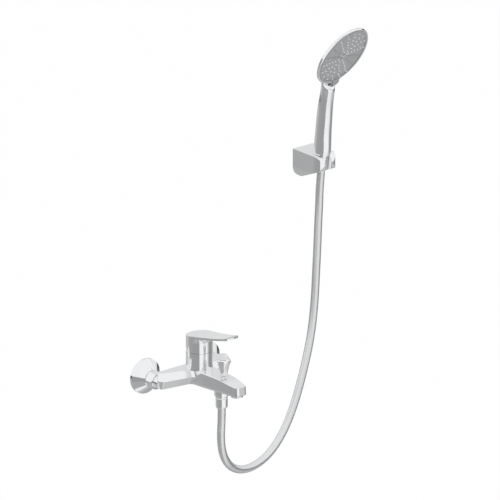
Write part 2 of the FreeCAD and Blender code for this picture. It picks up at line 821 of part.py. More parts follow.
def diverter_spring():
    # the coil's line is two arcs for each quarter turn, which keep the helix's directions at its ends
    bottom = valve_top + spring_wire / 2 + slide_gap
    rise = (guide_ceiling - spring_wire / 2 - slide_gap - bottom) / (2 * math.pi * spring_turns)

    def on_helix(angle):
        place = vec(spring_radius * math.cos(angle), diverter_y + spring_radius * math.sin(angle),
                    bottom + rise * angle)
        along = vec(-spring_radius * math.sin(angle), spring_radius * math.cos(angle), rise)
        return place, along.normalize()

    quarters = round(4 * spring_turns)
    ends = [on_helix(k * 2 * math.pi * spring_turns / quarters) for k in range(quarters + 1)]
    edges = []
    for (start, ahead), (end, onward) in zip(ends, ends[1:]):
        chord = end - start
        bend = 2 * (1 - ahead.dot(onward))
        pull = chord.dot(ahead + onward)
        reach = (math.sqrt(pull ** 2 + bend * chord.dot(chord)) - pull) / bend
        first, second = start + ahead * reach, end - onward * reach
        joint = (first + second) / 2
        edges += [bent(start, first, joint), bent(joint, second, end)]
    start, ahead = ends[0]
    section = Part.Wire([Part.makeCircle(spring_wire / 2, start, ahead)])
    print(f"spring's least gap to itself: {rise * 2 * math.pi - spring_wire:.2f} mm")
    return Part.Wire(edges).makePipeShell([section], True, False)


def diverter_knob():
    top = knob_bottom + knob_height
    foot, rounding = knob_foot_radius, knob_foot_round
    profile = [(0, knob_bottom), (foot - rounding, knob_bottom), (foot - rounding * 0.4, knob_bottom + rounding),
               (foot, knob_bottom + 2 * rounding),
               (knob_top_radius - 1.2, top - 10.5), (knob_top_radius, top - 6.0),
               (knob_top_radius, top - 3.2), (knob_top_radius - 0.9, top - 1.1),
               (knob_top_radius - 3.0, top - 0.2), (0, top)]
    return turned(profile, (0, diverter_y, 0)).cut(diverter_stem())


finish("diverter_guide", diverter_guide())
finish("diverter_guide_seal", ring(stem_bore + 1.5, stem_bore, seal_height, (0, diverter_y, seal_bottom)))
finish("diverter_stem", diverter_stem())
finish("diverter_valve_disc", diverter_valve_disc())
finish("diverter_spring", diverter_spring())
finish("diverter_knob", diverter_knob())

# Shower outlet below the spout: nipple, washer, hose nut and hose insert, each stacked on the last.
outlet_y = -outlet_depth
nipple_flange_bottom = outlet_bottom - nipple_flange
nipple_end = nipple_flange_bottom - hose_thread_length
insert_top = nipple_end - washer_thick
insert_flange = 2.0
lower_nut_top = nipple_flange_bottom - free_gap
lower_nut_bottom = lower_nut_top - hose_nut_length
hose_start = insert_top - insert_flange - free_gap
hose_nut_bore = hose_thread_radius + thread_gap
hose_hole = hose_radius + free_gap
insert_radius = hose_nut_bore - free_gap
nut_shoulder = insert_top - insert_flange


def shower_outlet_nipple():
    profile = [(nipple_bore_radius, nipple_end), (hose_thread_radius, nipple_end),
               (hose_thread_radius, nipple_flange_bottom), (outlet_radius - 0.5, nipple_flange_bottom),
               (outlet_radius - 0.5, outlet_bottom), (nipple_thread_radius, outlet_bottom),
               (nipple_thread_radius, outlet_bottom + nipple_thread_length),
               (nipple_bore_radius, outlet_bottom + nipple_thread_length)]
    return turned(profile, (0, outlet_y, 0))


def lower_hose_nut():
    foot = hose_hole + 1.6
    profile = [(hose_nut_bore, lower_nut_top), (hose_nut_radius, lower_nut_top),
               (hose_nut_radius + 0.4, lower_nut_top - 1), (hose_nut_radius + 0.4, lower_nut_bottom + 4),
               (foot, lower_nut_bottom), (hose_hole, lower_nut_bottom), (hose_hole, nut_shoulder),
               (hose_nut_bore, nut_shoulder)]
    return turned(profile, (0, outlet_y, 0))


def hose_insert(radius, base, axis):
    # flange against the washer and a tail pushed into the hose; the height runs away from the washer
    tail = hose_bore_radius - slide_gap
    profile = [(nipple_bore_radius - 1.2, 0), (radius, 0), (radius, insert_flange), (tail, insert_flange),
               (tail, insert_flange + hose_grip), (nipple_bore_radius - 1.2, insert_flange + hose_grip)]
    return turned(profile, base, axis)


finish("shower_outlet_nipple", shower_outlet_nipple())
finish("hose_washer_lower", ring(insert_radius, nipple_bore_radius, washer_thick, (0, outlet_y, insert_top)))
finish("hose_insert_lower", hose_insert(insert_radius, (0, outlet_y, insert_top), down))
finish("hose_nut_lower", lower_hose_nut())

# Aerator in the spout's tip: a threaded housing, the jet regulator inside it and the seal above.
aerator_y = -aerator_depth
aerator_top = aerator_cavity_top - 2.0


def aerator_housing():
    thread = aerator_seat_radius - thread_gap
    shoulder = aerator_shoulder - slide_gap
    profile = [(thread - 1.4, aerator_top), (thread, aerator_top), (thread, shoulder),
               (aerator_radius, shoulder), (aerator_radius, aerator_bottom + 0.6),
               (aerator_radius - 0.6, aerator_bottom), (thread - 2.2, aerator_bottom),
               (thread - 2.2, aerator_bottom + 1.2), (thread - 1.4, aerator_bottom + 1.2)]
    return turned(profile, (0, aerator_y, 0))


def aerator_insert():
    radius = aerator_seat_radius - thread_gap - 1.4 - slide_gap
    solid = rod(radius, aerator_top - aerator_bottom - 1.2, (0, aerator_y, aerator_bottom + 1.2))
    for row in range(-2, 3):
        for column in range(-2, 3):
            x, y = 3.0 * column, aerator_y + 3.0 * row
            if math.hypot(x, y - aerator_y) < radius - 1.5:
                solid = solid.cut(rod(0.9, 3, (x, y, aerator_bottom - 0.5)))
    hollow = rod(radius - 1.2, aerator_top - aerator_bottom - 6, (0, aerator_y, aerator_bottom + 3.5))
    inlet = rod(2.0, 20, (0, aerator_y, aerator_bottom + 4))
    return solid.cut(hollow).cut(inlet)


finish("aerator_housing", aerator_housing())
finish("aerator_insert", aerator_insert())
finish("aerator_seal", ring(aerator_seat_radius - 0.1, 6.5, aerator_cavity_top - aerator_top,
                            (0, aerator_y, aerator_top)))


# Everything on the hand shower's axis is drawn upright round the seat and then leaned forward with it.
seat_height = holder_top + 0.6
nipple_depth = 9.0
upper_insert_top = -nipple_depth - washer_thick
upper_shoulder = upper_insert_top - insert_flange
upper_nut_bore = swivel_stub_radius + slide_gap
foot_gap = 0.6


def seated(shape):
    moved = shape.copy()
    lean = FreeCAD.Placement(vec(holder_x, -seat_depth, seat_height), FreeCAD.Rotation(vec(*right), seat_lean))
    moved.Placement = lean.multiply(shape.Placement)
    return moved


def seat_point(height):
    lean = math.radians(seat_lean)
    return (holder_x, -seat_depth - height * math.sin(lean), seat_height + height * math.cos(lean))


# The hose hangs in one long loop: its places between the two straight ends, chosen from the photograph.
hose_loop = [
    (-3.2, -142.8, -101.0),
    (0.8, -141.8, -133.5),
    (16.5, -137.7, -163.0),
    (43.0, -130.8, -184.0),
    (76.5, -122.2, -195.0),
    (112.0, -113.0, -196.5),
    (148.0, -103.6, -189.0),
    (180.5, -95.1, -171.5),
    (208.5, -87.8, -146.0),
    (233.0, -81.3, -112.0),
    (250.6, -76.7, -79.0),
    (266.0, -72.7, -45.0),
    (279.6, -69.2, -10.0),
    (290.3, -66.4, 27.0),
    (297.0, -64.6, 64.0),
    (301.5, -63.0, 100.0),
    (304.8, -61.3, 134.0),
    (309.0, -59.0, 168.0),
    (313.0, -56.3, 202.0),
    (317.1, -53.4, 237.0),
    (321.2, -51.2, 272.0),
]
lower_straight = 33.0
upper_straight = 57.0
arc_share = 0.45


def hose_route():
    start = (0, outlet_y, hose_start)
    end_height = upper_shoulder - free_gap
    return [start, (0, outlet_y, hose_start - lower_straight), *hose_loop,
            seat_point(end_height - upper_straight), seat_point(end_height)]


def tube_path(points):
    corners = [vec(*point) for point in points]
    edges, radii, last = [], [], corners[0]
    for before, corner, after in zip(corners, corners[1:], corners[2:]):
        inward_run, outward_run = corner - before, after - corner
        turn = inward_run.getAngle(outward_run)
        reach = arc_share * min(inward_run.Length, outward_run.Length)
        radii.append(reach / math.tan(turn / 2))
        back = (before - corner).normalize()
        ahead = (after - corner).normalize()
        first, second = corner + back * reach, corner + ahead * reach
        bisector = (back + ahead).normalize()
        drop = radii[-1] / math.cos(turn / 2) - radii[-1]
        edges.append(Part.LineSegment(last, first).toShape())
        edges.append(Part.Arc(first, corner + bisector * drop, second).toShape())
        last = second
    edges.append(Part.LineSegment(last, corners[-1]).toShape())
    print("hose radii:", " ".join(f"{radius:.0f}" for radius in radii))
    return Part.Wire(edges)


def shower_hose():
    route = hose_route()
    path = tube_path(route)
    section = Part.Wire([Part.makeCircle(hose_radius, vec(*route[0]), vec(*down))])
    tube = path.makePipeShell([section], True, False)
    ideal = math.pi * hose_radius ** 2 * path.Length
    print(f"hose length {path.Length:.1f} mm, volume over section times length {tube.Volume / ideal:.5f}")
    end = vec(*route[-1])
    back = vec(*route[-2]) - end
    for place, direction in ((vec(*route[0]), vec(*down)), (end, back)):
        tube = tube.cut(Part.makeCylinder(hose_bore_radius, hose_grip + 2, place, direction))
    return tube


def upper_hose_cone():
    straight = 9.0
    profile = [(upper_nut_bore, 0), (cone_top_radius - 0.6, 0), (cone_top_radius, -0.6),
               (cone_top_radius, -straight), (cone_bottom_radius, -cone_length + 1),
               (cone_bottom_radius - 0.4, -cone_length), (hose_hole, -cone_length),
               (hose_hole, upper_shoulder), (upper_nut_bore, upper_shoulder)]
    return seated(turned(profile))


def upper_seal():
    return seated(ring(upper_nut_bore - free_gap, nipple_bore_radius, washer_thick, (0, 0, upper_insert_top)))


finish("shower_hose", shower_hose())
finish("hose_cone_nut_upper", upper_hose_cone())
finish("hose_washer_upper", upper_seal())
finish("hose_insert_upper", seated(hose_insert(upper_nut_bore - free_gap, (0, 0, upper_insert_top), down)))

# Wall holder: a D-shaped block rounded at the front, with an open cradle, over a plate screwed to the wall.
holder_bottom = holder_top - holder_height
holder_corner = 16.0
holder_under_slope = 23.5
plate_gap = 0.15
plate_half_height = 24.0
plate_middle = (holder_top + holder_bottom) / 2 + 1


def holder_plate(grow):
    half, high = wall_plate_half_width + grow, plate_half_height + grow
    flat = high - half
    outline = Part.Face(Part.Wire([
        line((-half, 0, high), (half, 0, high)),
        line((half, 0, high), (half, 0, -flat)),
        arc((half, 0, -flat), (0, 0, -high), (-half, 0, -flat)),
        line((-half, 0, -flat), (-half, 0, high)),
    ]))
    outline.translate(vec(holder_x, 0, plate_middle))
    return outline.extrude(vec(0, -wall_plate_thick - grow, 0))


def holder_screw(height):
    sunk = 0.4
    head = turned([(0, 0), (screw_head_radius, 0), (screw_shank_radius, 2.6),
                   (screw_shank_radius, wall_plate_thick - sunk), (screw_radius, wall_plate_thick - sunk),
                   (screw_radius, screw_length), (0, screw_length)],
                  (holder_x, -wall_plate_thick + sunk, height), inward)
    slot = box((0.9, 1.4, 2 * screw_head_radius),
               (holder_x - 0.45, -wall_plate_thick + 0.3, height - screw_head_radius))
    bar = box((2 * screw_head_radius, 1.4, 0.9),
              (holder_x - screw_head_radius, -wall_plate_thick + 0.3, height - 0.45))
    reach = rod(2.4, 3, (holder_x, -wall_plate_thick - 1, height), inward)
    return head.cut(slot.common(reach)).cut(bar.common(reach))


def screw_heights():
    return [plate_middle - screw_spacing / 2, plate_middle + screw_spacing / 2]


def holder_wall_plate():
    plate = holder_plate(0)
    for height in screw_heights():
        sink = turned([(0, -1), (screw_head_radius + 0.1, -1), (screw_head_radius + 0.1, 0.4),
                       (screw_radius + 0.1, 2.8), (screw_radius + 0.1, 20), (0, 20)],
                      (holder_x, -wall_plate_thick, height), inward)
        plate = plate.cut(sink)
    return plate


def holder_block():
    half, round_middle = holder_half_width, holder_bottom + holder_half_width
    section = Part.Face(Part.Wire([
        line((-half, 0, holder_top), (half, 0, holder_top)),
        line((half, 0, holder_top), (half, 0, round_middle)),
        arc((half, 0, round_middle), (0, 0, holder_bottom), (-half, 0, round_middle)),
        line((-half, 0, round_middle), (-half, 0, holder_top)),
    ])).extrude(vec(0, -holder_depth - 10, 0))
    # seen from the side the nose is round, and the underside runs straight from it to the wall
    nose, bend, slope = holder_depth, holder_front_height / 2, math.radians(holder_under_slope)
    under = (0, -nose + bend * (1 - math.sin(slope)), holder_top - bend * (1 + math.cos(slope)))
    side = Part.Face(Part.Wire([
        line((0, 0, holder_top), (0, -nose + bend, holder_top)),
        arc((0, -nose + bend, holder_top), (0, -nose, holder_top - bend), under),
        line(under, (0, 0, holder_bottom - 1)),
        line((0, 0, holder_bottom - 1), (0, 0, holder_top)),
    ]))
    side.translate(vec(-half - 5, 0, 0))
    corner = holder_corner
    cut_in = corner * (1 - math.sqrt(0.5))
    plan = Part.Face(Part.Wire([
        line((half, 5, 0), (-half, 5, 0)),
        line((-half, 5, 0), (-half, -nose + corner, 0)),
        arc((-half, -nose + corner, 0), (-half + cut_in, -nose + cut_in, 0), (-half + corner, -nose, 0)),
        line((-half + corner, -nose, 0), (half - corner, -nose, 0)),
        arc((half - corner, -nose, 0), (half - cut_in, -nose + cut_in, 0), (half, -nose + corner, 0)),
        line((half, -nose + corner, 0), (half, 5, 0)),
    ]))
    plan.translate(vec(0, 0, holder_bottom - 10))
    solid = section.common(side.extrude(vec(2 * half + 10, 0, 0)))
    solid = solid.common(plan.extrude(vec(0, 0, holder_height + 20)))
    solid.translate(vec(holder_x, 0, 0))
    straight = 9.0
    seat = seated(turned([(0, 30), (cone_top_radius + free_gap, 30), (cone_top_radius + free_gap, -straight),
                          (cone_bottom_radius + free_gap, -cone_length + 1),
                          (cone_bottom_radius + free_gap, -70), (0, -70)]))
    slot = seated(box((cradle_slot, 60, 100), (-cradle_slot / 2, -60, -70)))
    plate_room = holder_plate(plate_gap)
    grub_hole = rod(2.0 + slide_gap, 40, (holder_x, -wall_plate_thick / 2, holder_bottom - 10))
    return solid.cut(seat).cut(slot).cut(plate_room).cut(grub_hole)


def holder_grub_screw():
    top = plate_middle - plate_half_height
    solid = rod(2.0, top - holder_bottom - 1.5, (holder_x, -wall_plate_thick / 2, holder_bottom + 1.5))
    return solid.cut(hexagon(2.0, 2, (holder_x, -wall_plate_thick / 2, holder_bottom + 1.5)))


finish("holder_wall_plate", holder_wall_plate())
finish("holder_screws", Part.makeCompound([holder_screw(height) for height in screw_heights()]))
finish("holder_block", holder_block())
finish("holder_grub_screw", holder_grub_screw())


# Hand shower, drawn upright on its own axis: the body with handle and head shell, the head tipped by
# head_pitch about the face's centre, the rim, the spray plate with its selector, and what they hold.
neck_rise = head_height - handle_length - 21.9
neck_end = 22.1 - head_offset
handle_sections = [
    (foot_gap, 1.3, handle_foot_width, handle_foot_depth),
    (30.0, 2.3, handle_foot_width - 0.5, handle_foot_depth - 0.5),
    (60.0, 3.3, handle_foot_width - 1.1, handle_foot_depth - 1.2),
    (90.0, 3.6, handle_foot_width - 1.7, handle_foot_depth - 1.9),
    (handle_length - 20, 2.8, handle_neck_width + 0.4, handle_neck_depth + 0.8),
    (handle_length - 3, 1.6, handle_neck_width + 0.1, 14.0),
    (handle_length + neck_rise * 0.1, 1.6, handle_neck_width + 0.5, 13.0),
    (handle_length + neck_rise * 0.19, 3.6, handle_neck_width + 0.7, 10.0),
    (handle_length + neck_rise * 0.46, neck_end + 11.4, handle_neck_width + 1.2, 7.4),
    (handle_length + neck_rise * 0.73, neck_end + 6.0, handle_neck_width + 1.8, 6.0),
    (handle_length + neck_rise, neck_end, handle_neck_width + 0.8, 4.5),
]


def held(shape):
    moved = shape.copy()
    turn = FreeCAD.Rotation(vec(*right), seat_lean).multiply(FreeCAD.Rotation(vec(*up), head_turn))
    moved.Placement = FreeCAD.Placement(vec(holder_x, -seat_depth, seat_height), turn).multiply(shape.Placement)
    return moved


def in_head(shape):
    # from an upright stack on the origin, heights running back from the face, to the head's place
    moved = shape.copy()
    tip_back = FreeCAD.Rotation(vec(*right), -90 + head_pitch)
    moved.Placement = FreeCAD.Placement(vec(0, -head_offset, head_height), tip_back).multiply(shape.Placement)
    return moved


def handle_hull():
    wires = []
    for height, centre, half_width, half_depth in handle_sections:
        points = [vec(half_width * math.cos(k * math.pi / 8), centre + half_depth * math.sin(k * math.pi / 8),
                      height) for k in range(16)]
        curve = Part.BSplineCurve()
        curve.interpolate(Points=points, PeriodicFlag=True)
        wires.append(Part.Wire(curve.toShape()))
    return Part.makeLoft(wires, True, False, False, 3)


def dome(radius, start, height, grow=0.0):
    # spherical cap: its rim of that radius lies at start and it rises to height
    ball = (radius ** 2 + height ** 2) / (2 * height)
    sphere = Part.makeSphere(ball - grow, vec(0, 0, start + height - ball))
    return sphere.common(rod(radius + 5, height + 1, (0, 0, start)))


plate_front = 0.6
plate_back = plate_front + face_thick
ledge = plate_back + 2 * slide_gap
cavity_radius = head_radius - 4.5
tab_front = -2.3
tab_back = 2.3
distributor_front = plate_back + free_gap


def handset_body():
    handle = handle_hull()
    shell = in_head(joined(dome(head_radius - 1.2, head_rim, head_dome),
                           rod(cavity_radius, head_rim - ledge, (0, 0, ledge))))
    front_space = in_head(rod(head_radius + free_gap, 60, (0, 0, ledge), down))
    rim_space = in_head(ring(head_radius + free_gap, cavity_radius, head_rim, (0, 0, 0)))
    tab_space = in_head(rod(head_radius + selector_out + free_gap, 60, (0, 0, tab_back + free_gap), down))
    solid = handle.cut(front_space).cut(rim_space).cut(tab_space)
    solid = solid.fuse(shell)
    hollow = in_head(joined(dome(cavity_radius - head_wall, head_rim, head_dome - head_wall),
                            rod(cavity_radius - head_wall, head_rim - ledge + 1, (0, 0, ledge - 1))))
    solid = solid.cut(hollow)
    grip_bore = rod(9.0, handle_length - 20, (0, 0, 10))
    inlet_room = rod(9.0, 10.5, (0, 0, 0))
    bend = handle_length + neck_rise * 0.36
    waterway = rod(waterway_radius, bend + 15 - handle_length, (0, 6, handle_length - 15))
    rise = Part.makeCylinder(waterway_radius, neck_rise * 0.58, vec(0, 6, bend), vec(0, -0.5, 1))
    knee = Part.makeSphere(waterway_radius, vec(0, 6, bend))
    for cut in (grip_bore, inlet_room, waterway, knee, rise):
        solid = solid.cut(cut)
    return solid


def handset_inlet():
    bore = nipple_bore_radius
    profile = [(bore, -nipple_depth), (swivel_stub_radius, -nipple_depth), (swivel_stub_radius, 0.3),
               (12.6, 0.3), (12.6, foot_gap), (8.9, foot_gap), (8.9, 9.5), (bore, 9.5)]
    return turned(profile)


def head_rim_ring():
    outer = head_radius
    profile = [(face_radius + 0.3, 0), (outer - 1.2, 0), (outer, 1.2), (outer, head_rim - 1.0),
               (outer - 1.0, head_rim), (cavity_radius + slide_gap, head_rim),
               (cavity_radius + slide_gap, ledge), (face_radius + 0.3, ledge)]
    return in_head(turned(profile))


def spray_plate():
    # the face has two fans of nozzles and two plain sectors, each of these with two low ridges
    hole = plate_screw_radius + slide_gap
    solid = turned([(hole, plate_front), (face_radius - 0.6, plate_front), (face_radius, plate_front + 0.6),
                    (face_radius, plate_back), (hole, plate_back)])
    length = face_radius - 10 - nozzle_inner_ring
    for degrees in (-77, -53, 105, 128):
        ridge = box((ridge_width, length, ridge_height + 1),
                    (-ridge_width / 2, -face_radius + 10, plate_front - ridge_height))
        ridge.rotate(vec(0, 0, 0), vec(*up), degrees)
        solid = solid.fuse(ridge)
    return in_head(solid)


def selector_ring():
    # the head's stack has its Y axis pointing down the face, where the tab is
    front = -0.7
    solid = ring(face_radius - 0.6, face_radius - 4.2, plate_front - front, (0, 0, front))
    reach = head_radius + selector_out
    half = selector_width / 2
    arm = box((selector_width, reach - face_radius - 1, 1.6), (-half, face_radius - 3, tab_front + 0.3))
    outside = box((4 * half, 4 * half, 4 * half), (-2 * half, head_radius + 0.5, -2 * half))
    grip = rod(half + 0.4, tab_back - tab_front, (0, reach - half - 0.4, tab_front)).common(outside)
    tab = joined(arm, grip)
    tab.rotate(vec(0, 0, 0), vec(*up), selector_turn)
    return in_head(joined(solid, tab))


def nozzle_places():
    # angles run clockwise from the top of the face, as seen from the front
    places = []
    ring_step = (face_radius - 7.5 - nozzle_inner_ring) / 5
    for middle in (26, 206):
        for row, count in enumerate((3, 4, 5, 6, 6, 7)):
            radius = nozzle_inner_ring + row * ring_step
            for k in range(count):
                angle = math.radians(middle + 135 * ((k + 0.5) / count - 0.5))
                places.append((radius * math.sin(angle), -radius * math.cos(angle)))
    for k in range(3):
        angle = 2 * math.pi * k / 3
        places.append((0.65 * nozzle_inner_ring * math.sin(angle), 0.65 * nozzle_inner_ring * math.cos(angle)))
    return places


def spray_nozzles():
    nozzles = []
    for x, y in nozzle_places():
        end = plate_front - nozzle_height
        nozzles.append(in_head(turned([(0, end), (nozzle_radius * 0.75, end), (nozzle_radius, plate_front),
                                       (0, plate_front)], (x, y, 0))))
    return Part.makeCompound([held(nozzle) for nozzle in nozzles])


def spray_distributor():
    solid = ring(cavity_radius - head_wall - free_gap, plate_screw_radius + slide_gap,
                 head_rim - distributor_front, (0, 0, distributor_front))
    middle = face_radius * 0.55
    for k in range(6):
        angle = k * math.pi / 3
        solid = solid.cut(rod(4.0, 10, (middle * math.cos(angle), middle * math.sin(angle), 0)))
    return in_head(solid)


def spray_plate_screw():
    head_back = plate_front - free_gap
    profile = [(0, -1.6), (4.2, -1.6), (5.0, -0.8), (5.0, head_back), (plate_screw_radius, head_back),
               (plate_screw_radius, distributor_front + 6), (0, distributor_front + 6)]
    return in_head(turned(profile))


finish("handset_body", held(handset_body()))
finish("handset_inlet", held(handset_inlet()))
finish("head_rim_ring", held(head_rim_ring()))
finish("spray_plate", held(spray_plate()))
finish("spray_selector_ring", held(selector_ring()))
finish("spray_nozzles", spray_nozzles())
finish("spray_distributor", held(spray_distributor()))
finish("spray_plate_screw", held(spray_plate_screw()))
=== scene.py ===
import math

import bpy
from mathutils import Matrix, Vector


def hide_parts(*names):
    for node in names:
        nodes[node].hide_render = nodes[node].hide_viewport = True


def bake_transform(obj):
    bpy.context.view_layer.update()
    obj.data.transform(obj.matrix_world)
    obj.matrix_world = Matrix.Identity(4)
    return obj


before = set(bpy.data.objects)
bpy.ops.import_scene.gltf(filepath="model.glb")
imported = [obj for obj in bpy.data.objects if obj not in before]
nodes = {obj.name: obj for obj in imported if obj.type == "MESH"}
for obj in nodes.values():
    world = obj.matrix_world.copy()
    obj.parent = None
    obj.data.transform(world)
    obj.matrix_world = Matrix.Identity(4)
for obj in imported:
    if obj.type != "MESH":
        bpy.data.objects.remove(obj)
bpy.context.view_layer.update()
print("frame loaded:", len(nodes), "nodes")


class Wire:  # one shader socket, so that a formula on it adds its Math nodes
    def __init__(self, graph, socket):
        self.graph, self.socket = graph, socket

    def math(self, operation, *others):
        return self.graph.add("ShaderNodeMath", {"operation": operation}, [self, *others])

    def __add__(self, other): return self.math("ADD", other)
    def __radd__(self, other): return self.math("ADD", other)
    def __sub__(self, other): return self.math("SUBTRACT", other)
    def __mul__(self, other): return self.math("MULTIPLY", other)
    def __rmul__(self, other): return self.math("MULTIPLY", other)
    def __truediv__(self, other): return self.math("DIVIDE", other)
    def wave(self): return self.math("SINE")
    def part(self): return self.math("FRACT")
    def size(self): return self.math("ABSOLUTE")

    def __rsub__(self, other):
        return self.graph.add("ShaderNodeMath", {"operation": "SUBTRACT"}, [other, self])

    def step(self, low, high):  # 0 below low, 1 above high, eased between them
        settings = {"interpolation_type": "SMOOTHSTEP"}
        return self.graph.add("ShaderNodeMapRange", settings, [self, low, high, 0.0, 1.0])


class Graph:  # the node tree of one material or of the world
    def __init__(self, owner):
        owner.use_nodes = True
        self.tree = owner.node_tree
        self.tree.nodes.clear()

    def add(self, kind, settings=None, inputs=(), output=0):
        node = self.tree.nodes.new(kind)
        for name, value in (settings or {}).items():
            if name == "stops":
                self.stops(node.color_ramp, value)
            else:
                setattr(node, name, value)
        pairs = inputs.items() if isinstance(inputs, dict) else enumerate(inputs)
        for key, value in pairs:
            socket = node.inputs[key]
            if isinstance(value, Wire):
                self.tree.links.new(value.socket, socket)
            elif value is not None:
                socket.default_value = value
        return Wire(self, node.outputs[output]) if node.outputs else None

    def stops(self, ramp, stops):
        while len(ramp.elements) < len(stops):
            ramp.elements.new(0.5)
        for element, (place, tone) in zip(ramp.elements, stops):
            element.position = place
            element.color = (tone, tone, tone, 1.0)

    def place(self, axis=None):  # where a point is, in metres in the part's own frame
        point = self.add("ShaderNodeTexCoord", output=3)
        return point if axis is None else self.add("ShaderNodeSeparateXYZ", {}, [point], axis)

    def noise(self, scale, detail=2.0, rough=0.5):
        inputs = {"Scale": scale, "Detail": detail, "Roughness": rough, "Vector": self.place()}
        return self.add("ShaderNodeTexNoise", {}, inputs)

    def blend(self, share, first, second):  # colours, by a share from 0 to 1
        settings = {"data_type": "RGBA"}
        inputs = {0: share, 6: colour(first), 7: colour(second)}
        return self.add("ShaderNodeMix", settings, inputs, 2)

    def bump(self, height, strength, distance):
        inputs = {"Height": height, "Strength": strength, "Distance": distance}
        return self.add("ShaderNodeBump", {}, inputs)

    def surface(self, **sockets):
        named = {name.replace("_", " "): value for name, value in sockets.items()}
        shader = self.add("ShaderNodeBsdfPrincipled", {}, named)
        self.add("ShaderNodeOutputMaterial", {}, [shader])


def colour(value):
    return (*value, 1.0) if isinstance(value, tuple) and len(value) == 3 else value


def newMaterial(name):
    return Graph(bpy.data.materials.new(name)), bpy.data.materials[name]


def dress(material, *names):
    for name in names:
        slots = nodes[name].data.materials
        slots.clear()
        slots.append(material)


# Camera: the photograph's direction, far enough away that parallel edges stay parallel.
cameraSettings = {"azimuth": -40.0, "elevation": 20.0, "distance": 20.0, "width": 0.9615,
                  "aim": (0.1607, -0.0348, 0.2146), "sensor": 36.0, "clip": 100.0}


def makeCamera(settings):
    turn, rise = math.radians(settings["azimuth"]), math.radians(settings["elevation"])
    back = Vector((math.sin(turn) * math.cos(rise), -math.cos(turn) * math.cos(rise), math.sin(rise)))
    data = bpy.data.cameras.new("camera")
    data.sensor_width = settings["sensor"]
    data.lens = settings["sensor"] * settings["distance"] / settings["width"]
    data.clip_end = settings["clip"]
    camera = bpy.data.objects.new("camera", data)
    camera.location = Vector(settings["aim"]) + back * settings["distance"]
    camera.rotation_euler = back.to_track_quat("Z", "Y").to_euler()
    bpy.context.scene.collection.objects.link(camera)
    bpy.context.scene.camera = camera


makeCamera(cameraSettings)
print("camera placed")


# Hose: one line through the same places as the solid's, from the lower nut round to the cone nut.
hoseSettings = {"radius": 0.0078, "length": 0.886, "sides": 40, "rings": 900, "pitch": 0.0026,
                "curveOrder": 3, "curveSteps": 24,
                "followFrom": (0.297, -0.0646, 0.068), "followTo": (0.3225, -0.0509, 0.312),
                "route": [(0.0, -0.142, -0.03135), (0.0, -0.142, -0.06435), (-0.0032, -0.1428, -0.097),
                          (0.0008, -0.1418, -0.1295), (0.0165, -0.1377, -0.159), (0.043, -0.1308, -0.18),
                          (0.0765, -0.1222, -0.191), (0.112, -0.113, -0.1925), (0.148, -0.1036, -0.185),
                          (0.1805, -0.0951, -0.1675), (0.2085, -0.0878, -0.142), (0.233, -0.0813, -0.108),
                          (0.2506, -0.0767, -0.075), (0.266, -0.0727, -0.041), (0.2796, -0.0692, -0.006),
                          (0.2903, -0.0664, 0.031), (0.297, -0.0646, 0.068), (0.3015, -0.063, 0.104),
                          (0.3048, -0.0613, 0.138), (0.309, -0.059, 0.172), (0.313, -0.0563, 0.206),
                          (0.3171, -0.0534, 0.241), (0.3212, -0.0512, 0.276), (0.3225, -0.05093, 0.31177),
                          (0.3225, -0.05787, 0.36835)]}


def routeLine(settings):
    curve = bpy.data.curves.new("hoseLine", "CURVE")
    curve.dimensions = "3D"
    spline = curve.splines.new("NURBS")
    spline.points.add(len(settings["route"]) - 1)
    for point, place in zip(spline.points, settings["route"]):
        point.co = (*place, 1.0)
    spline.order_u = settings["curveOrder"]
    spline.use_endpoint_u = True
    spline.resolution_u = settings["curveSteps"]
    holder = bpy.data.objects.new("hoseLine", curve)
    bpy.context.scene.collection.objects.link(holder)
    bpy.context.view_layer.update()
    depsgraph = bpy.context.evaluated_depsgraph_get()
    mesh = bpy.data.meshes.new_from_object(holder.evaluated_get(depsgraph))
    line = [vertex.co.copy() for vertex in mesh.vertices]
    bpy.data.objects.remove(holder)
    return line


def evenly(line, count):
    spans = [0.0]
    for before, after in zip(line, line[1:]):
        spans.append(spans[-1] + (after - before).length)
    places, at = [], 0
    for k in range(count):
        wanted = spans[-1] * k / (count - 1)
        while at < len(spans) - 2 and spans[at + 1] < wanted:
            at += 1
        share = (wanted - spans[at]) / (spans[at + 1] - spans[at])
        places.append(line[at].lerp(line[at + 1], min(share, 1.0)))
    return places, spans[-1]


def makeHose(settings):
    places, length = evenly(routeLine(settings), settings["rings"])
    sides, radius = settings["sides"], settings["radius"]
    side = Vector((1, 0, 0))
    vertices, faces = [], []
    for k, place in enumerate(places):
        ahead = (places[min(k + 1, len(places) - 1)] - places[max(k - 1, 0)]).normalized()
        side = (side - ahead * side.dot(ahead)).normalized()
        other = ahead.cross(side)
        for j in range(sides):
            turn = 2 * math.pi * j / sides
            vertices.append(place + (side * math.cos(turn) + other * math.sin(turn)) * radius)
        if k:
            first, last = (k - 1) * sides, k * sides
            for j in range(sides):
                onward = (j + 1) % sides
                faces.append((first + j, first + onward, last + onward, last + j))
    faces += [tuple(reversed(range(sides))), tuple(range(len(vertices) - sides, len(vertices)))]
    mesh = bpy.data.meshes.new("hose")
    mesh.from_pydata(vertices, [], faces)
    mesh.shade_smooth()
    winding = mesh.uv_layers.new(name="winding")  # U runs round the hose, V along it in metres
    for face in mesh.polygons:
        closing = len(face.vertices) == 4 and face.index % sides == sides - 1
        for loop in face.loop_indices:
            ring, spot = divmod(mesh.loops[loop].vertex_index, sides)
            lap = sides if closing and spot == 0 else spot
            winding.data[loop].uv = (lap / sides, length * ring / (settings["rings"] - 1))
    hose = bpy.data.objects.new("hose", mesh)
    bpy.context.scene.collection.objects.link(hose)
    print("hose line:", round(length, 4), "m")
    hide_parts("shower_hose")
    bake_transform(hose)
    return hose


hose = makeHose(hoseSettings)


